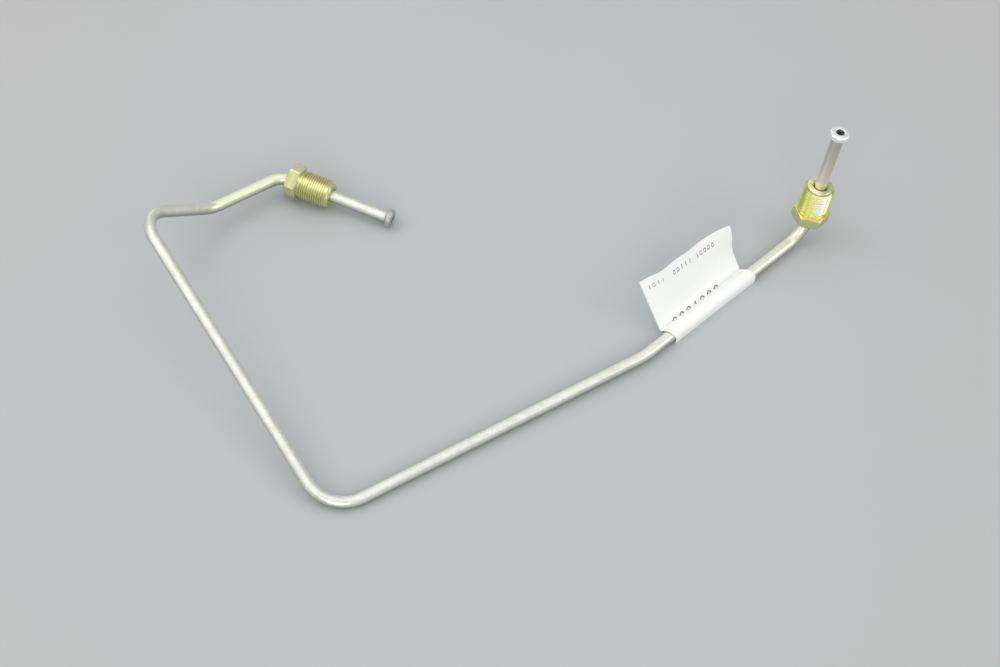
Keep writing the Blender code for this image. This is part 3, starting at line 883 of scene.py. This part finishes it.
def labelSection(along):
    # section across the pipe: the flag's front and back, then the loop's outside and inside
    paper = label["paper"]
    half = paper / 2
    wrap = pipe["radius"] + label["clearance"] + half
    root = Vector((-label["rootBack"], -label["rootDrop"]))
    crease = Vector((label["creaseForward"], -wrap))
    rows = label["flagRows"]
    rise = [root]
    ways = []
    for row in range(rows):
        lean = flagLean(along, (row + 0.5) / rows)
        ways.append(Vector((-math.cos(lean), math.sin(lean))))
        rise.append(rise[-1] + ways[-1] * label["flagHeight"] / rows)

    def touch(point, sideSign):
        return math.atan2(point.y, point.x) + sideSign * math.acos(wrap / point.length)

    overStart = touch(root, -1) % (2 * math.pi)
    overEnd = touch(crease, 1)
    underStart = touch(crease, -1)
    underEnd = touch(root, 1)
    downFront = (onCircle(wrap, overStart) - root).normalized()
    toCrease = (crease - onCircle(wrap, overEnd)).normalized()
    fromCrease = (onCircle(wrap, underStart) - crease).normalized()
    toRoot = (root - onCircle(wrap, underEnd)).normalized()

    front = [lineMeet(root, -ways[0], paper, downFront, half)]
    back = [lineMeet(root, toRoot, half, ways[0], paper)]
    for row in range(1, rows + 1):
        way = ways[row - 1]
        if row < rows:
            way = (ways[row - 1] + ways[row]).normalized()
        normal = Vector((way.y, -way.x))
        front.append(rise[row] + normal * paper)
        back.append(rise[row] - normal * paper)

    outer = [front[0]]
    inner = [lineMeet(root, toRoot, -half, downFront, -half)]

    def followPipe(first, last, steps):
        for step in range(steps + 1):
            angle = first + (last - first) * step / steps
            outer.append(onCircle(wrap + half, angle))
            inner.append(onCircle(wrap - half, angle))

    followPipe(overStart, overEnd, label["wrapSteps"])
    outer.append(lineMeet(crease, toCrease, half, fromCrease, half))
    inner.append(lineMeet(crease, toCrease, -half, fromCrease, -half))
    followPipe(underStart, underEnd, label["undersideSteps"])
    outer.append(back[0])
    return front[::-1], back[::-1], outer, inner


def loopSkew(count):
    # share of the skew at each point round the loop, none at the root and all of it at the crease
    crease = label["wrapSteps"] + 2
    shares = []
    for index in range(count):
        part = index / crease if index <= crease else (count - 1 - index) / (count - 1 - crease)
        shares.append((1 - math.cos(math.pi * part)) / 2)
    return shares


def labelStations(bm, flatPlace):
    # columns of points along the label: rows down the front and the back, and round the loop's two sides
    corner, following = bendCorners()[label["fromCorner"]:][:2]
    alongPipe = (following - corner).normalized()
    forward = alongPipe.cross(up).normalized()
    upward = forward.cross(alongPipe)

    def addRow(points, distance, skews, mapStart):
        row = []
        run = 0.0
        for index, (point, skew) in enumerate(zip(points, skews)):
            if index:
                run += (point - points[index - 1]).length
            spot = corner + alongPipe * (label["start"] + distance + skew * label["skew"])
            vert = bm.verts.new(spot + forward * point.x + upward * point.y)
            flatPlace[vert] = (distance, mapStart + run)
            row.append(vert)
        return row

    frontMap, backMap, outerMap, innerMap = label["mapStarts"]
    stations = []
    for column in range(label["columns"] + 1):
        along = column / label["columns"]
        distance = label["width"] * along
        front, back, outer, inner = labelSection(along)
        skews = loopSkew(len(outer))
        frontRow = addRow(front, distance, [0.0] * len(front), frontMap)
        backRow = addRow(back, distance, [0.0] * len(back), backMap)
        outerRow = frontRow[-1:] + addRow(outer[1:-1], distance, skews[1:-1], outerMap) + backRow[-1:]
        innerRow = addRow(inner, distance, skews[:-1], innerMap)
        stations.append((frontRow, backRow, outerRow, innerRow + innerRow[:1]))
    return stations


def rippleFlag(stations, flatPlace):
    # slight ripple, wavy free edge and small dent: both faces of the flag move together
    dentAlong, dentUp = label["dentPlace"]
    reachAlong, reachUp = label["dentReach"]
    for frontRow, backRow, *loopRows in stations:
        for front, back in zip(frontRow[:-1], backRow[:-1]):
            middle = (front.co + back.co) / 2
            normal = (front.co - back.co).normalized()
            share = min(1.0, (middle - backRow[-1].co).length / label["rippleFrom"])
            along, down = flatPlace[front]
            aboveDent = label["flagHeight"] - down - dentUp
            across = ((along - dentAlong) / reachAlong) ** 2 + (aboveDent / reachUp) ** 2
            shift = normal * label["ripple"] * share * noise.noise(middle * label["rippleScale"])
            wave = noise.noise(Vector((along * label["edgeRippleScale"], 0.0, label["edgeRippleSeed"])))
            shift += normal * label["edgeRipple"] * (1.0 - down / label["flagHeight"]) ** 3 * wave
            shift -= normal * label["dentDepth"] * math.exp(-across)
            front.co += shift
            back.co += shift


def makeLabelMesh():
    bm = bmesh.new()
    uv = bm.loops.layers.uv.new("labelFlat")
    flatPlace = {}

    def quad(*verts):
        face = bm.faces.new(verts)
        for corner in face.loops:
            corner[uv].uv = flatPlace[corner.vert]

    def skin(first, second):
        for index in range(len(first) - 1):
            quad(first[index], first[index + 1], second[index + 1], second[index])

    stations = labelStations(bm, flatPlace)
    for here, there in zip(stations, stations[1:]):
        skin(here[0], there[0])
        skin(there[1], here[1])
        skin(here[2], there[2])
        skin(there[3], here[3])
        quad(here[1][0], here[0][0], there[0][0], there[1][0])
    for frontRow, backRow, outerRow, innerRow in (stations[0], stations[-1]):
        skin(frontRow, backRow)
        quad(frontRow[-1], innerRow[0], backRow[-1])
        quad(outerRow[0], outerRow[1], innerRow[1], innerRow[0])
        skin(outerRow[1:-1], innerRow[1:-1])
        quad(outerRow[-2], outerRow[-1], innerRow[0], innerRow[-2])
    rippleFlag(stations, flatPlace)
    return closeMesh("label_skin", bm, label)


def makePrintedRow():
    # a row of plain marks, each a ring or an upright stroke; the first row's values are its defaults
    tree, given, mask = newGroup("printedRow", dict(zip(markKeys, printedRows[0])), "Mask")
    split = addNode(tree, "ShaderNodeSeparateXYZ", (1, 0), {"Vector": given["Vector"]})
    along = calc(tree, (2, 0), "SUBTRACT", split.outputs["X"], given["Start"])
    along = calc(tree, (3, 0), "DIVIDE", along, given["Pitch"])
    height = calc(tree, (2, 1), "SUBTRACT", split.outputs["Y"], given["Base"])
    height = calc(tree, (3, 1), "DIVIDE", height, given["Height"])

    # each mark has its own axes from its middle, and its own chances
    aside = calc(tree, (5, 1), "SUBTRACT", calc(tree, (4, 1), "FRACT", along), 0.5)
    aside = calc(tree, (6, 1), "MULTIPLY", aside, mark["spread"])
    lift = calc(tree, (7, 2), "MULTIPLY", calc(tree, (6, 2), "SUBTRACT", height, 0.5), 2.0)
    number = calc(tree, (4, 2), "ADD", calc(tree, (4, 0), "FLOOR", along), given["Seed"])
    chance = addNode(tree, "ShaderNodeTexWhiteNoise", (5, 0), {"W": number}, noise_dimensions="1D")
    each = addNode(tree, "ShaderNodeSeparateColor", (6, 0), {"Color": chance.outputs["Color"]})

    # a ring, 1 at its outer edge
    squares = [calc(tree, (8, 2), "MULTIPLY", aside, aside), calc(tree, (8, 3), "MULTIPLY", lift, lift)]
    reach = calc(tree, (10, 2), "POWER", calc(tree, (9, 2), "ADD", *squares), 0.5)
    offRing = calc(tree, (12, 2), "ABSOLUTE", calc(tree, (11, 2), "SUBTRACT", reach, mark["ringRadius"]))
    ring = calc(tree, (13, 2), "LESS_THAN", offRing, mark["ringStroke"])

    # an upright stroke that leans a little, as high as the ring
    lean = calc(tree, (8, 0), "MULTIPLY", calc(tree, (7, 0), "SUBTRACT", each.outputs["Green"], 0.5), lift)
    beside = calc(tree, (10, 0), "ABSOLUTE", calc(tree, (9, 0), "SUBTRACT", aside, lean))
    beside = calc(tree, (11, 0), "LESS_THAN", beside, mark["uprightStroke"])
    within = calc(tree, (12, 1), "LESS_THAN", calc(tree, (11, 1), "ABSOLUTE", lift), mark["uprightReach"])
    stroke = calc(tree, (13, 0), "MULTIPLY", beside, within)

    pickRing = calc(tree, (13, 4), "LESS_THAN", each.outputs["Red"], given["Rings"])
    inked = addNode(tree, "ShaderNodeMix", (14, 0), {0: pickRing, 2: stroke, 3: ring}).outputs[0]
    inked = calc(tree, (15, 0), "MULTIPLY", inked, calc(tree, (14, 4), "GREATER_THAN", along, 0.0))
    inked = calc(tree, (16, 0), "MULTIPLY", inked, calc(tree, (14, 5), "LESS_THAN", along, given["Count"]))
    tree.links.new(calc(tree, (17, 0), "MULTIPLY", inked, given["Ink"]), mask)
    return tree


def labelPaper():
    material, tree, shader, place = newMaterial("label_paper_finish")
    flat = addNode(tree, "ShaderNodeUVMap", (-9, 0), uv_map="labelFlat").outputs["UV"]
    inMm = addNode(tree, "ShaderNodeVectorMath", (-8, 0), {0: flat, "Scale": 1 / mm}, operation="SCALE")
    # the flat map runs down from the flag's top edge: turn it to run up from its root
    fromRoot = addNode(tree, "ShaderNodeVectorMath", (-7, 1), {
        0: inMm.outputs["Vector"], 1: (1.0, -1.0, 1.0), 2: (0.0, label["flagHeight"] / mm, 0.0),
    }, operation="MULTIPLY_ADD").outputs["Vector"]

    printedRow = makePrintedRow()
    inked = 0.0
    for index, row in enumerate(printedRows):
        marks = useGroup(tree, printedRow, (-5, index), fromRoot, dict(zip(markKeys, row)))
        inked = calc(tree, (-3, index), "MAXIMUM", inked, marks)
    blotch = useGroup(tree, skinBlotches, (-4, 5), place, paperFinish["blotches"])
    fibre = useGroup(tree, fineLines, (-4, 6), place, paperFinish["fibres"])
    sheet = mixColour(tree, (-2, 5), blotch, paperFinish["paper"], paperFinish["shade"])
    feed(tree, shader, {
        "Base Color": mixColour(tree, (-1, 4), inked, sheet, paperFinish["ink"]),
        "Roughness": paperFinish["roughness"],
        "Normal": bumpFrom(tree, (-1, 6), fibre, paperFinish["bump"]),
    })
    return material


labelPiece = newPiece("paper_flag", makeLabelMesh(), labelPaper())
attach(labelPiece, "pipe")
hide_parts("folded_label")
print("label made with", len(labelPiece.data.polygons), "faces")


# Floor, world and lamps.
studio = {
    "floorSize": 6.0,
    "floorCool": (0.497, 0.536, 0.549, 1.0),
    "floorNeutral": (0.497, 0.497, 0.497, 1.0),
    "paintedPoolReach": (0.03, 0.34),      # the cool tone fades out between these distances from the middle, which it leaves a little brighter: a painted pool of light
    "floorBlotches": {"Scale": 9.0, "Low": 0.25, "High": 0.75},
    "blotchShare": 0.3,
    "floorRoughness": 0.6,
    "worldColour": (0.93, 0.94, 0.93, 1.0),
    "worldStrength": 0.62,
}

lamps = [   # where each lamp stands: heading it comes from, height angle, distance, size in metres, watts
    {"name": "ceiling", "from": 110.0, "rise": 78.0, "distance": 1.3, "size": 1.8, "watts": 3.85},
    {"name": "leftBack", "from": 158.0, "rise": 57.0, "distance": 1.3, "size": 0.6, "watts": 1.1},
    {"name": "leftLow", "from": 188.0, "rise": 30.0, "distance": 1.3, "size": 1.1, "watts": 1.5},
    {"name": "backLow", "from": 108.0, "rise": 14.0, "distance": 1.8, "size": 1.3, "watts": 1.4},
    {"name": "frontRight", "from": 325.0, "rise": 50.0, "distance": 1.5, "size": 1.1, "watts": 1.2},
    {"name": "rightSide", "from": 350.0, "rise": 28.0, "distance": 2.5, "size": 1.7, "watts": 8.5},
    {"name": "frontLow", "from": 264.0, "rise": 25.0, "distance": 2.5, "size": 1.7, "watts": 12.5},
    {"name": "frontLeft", "from": 228.0, "rise": 52.0, "distance": 1.4, "size": 0.7, "watts": 0.8},
]


def makeFloor():
    size = studio["floorSize"] / 2
    mesh = bpy.data.meshes.new("floor")
    mesh.from_pydata([(-size, -size, 0.0), (size, -size, 0.0), (size, size, 0.0), (-size, size, 0.0)],
                     [], [(0, 1, 2, 3)])
    material, tree, shader, place = newMaterial("pale_floor")
    blotch = useGroup(tree, skinBlotches, (-3, 0), place, studio["floorBlotches"])
    away = addNode(tree, "ShaderNodeVectorMath", (-3, 1), {0: place}, operation="LENGTH").outputs["Value"]
    # painted pool of light: cooler and a little brighter near the middle, fading outward
    fade = mapRange(tree, (-2, 1), away, *studio["paintedPoolReach"])
    share = addNode(tree, "ShaderNodeMath", (-2, 0), {0: blotch, 1: studio["blotchShare"], 2: fade},
                    operation="MULTIPLY_ADD", use_clamp=True).outputs["Value"]
    colour = mixColour(tree, (-1, 0), share, studio["floorCool"], studio["floorNeutral"])
    feed(tree, shader, {"Base Color": colour, "Roughness": studio["floorRoughness"]})
    floor = newPiece("floor", mesh, material)


def makeWorld():
    world = bpy.data.worlds.new("studioWorld")
    world.use_nodes = True
    back = world.node_tree.nodes["Background"]
    back.inputs["Color"].default_value = studio["worldColour"]
    back.inputs["Strength"].default_value = studio["worldStrength"]
    bpy.context.scene.world = world


def makeLamps():
    for lamp in lamps:
        data = bpy.data.lights.new(lamp["name"], "AREA")
        data.shape = "DISK"
        data.size = lamp["size"]
        data.energy = lamp["watts"]
        item = bpy.data.objects.new(lamp["name"], data)
        way = runDirection(lamp["from"], lamp["rise"])
        item.location = way * lamp["distance"]
        item.rotation_euler = way.to_track_quat("Z", "Y").to_euler()
        bpy.context.scene.collection.objects.link(item)


makeFloor()
makeWorld()
makeLamps()
bpy.context.scene.view_settings.view_transform = "Standard"
print("studio lit")
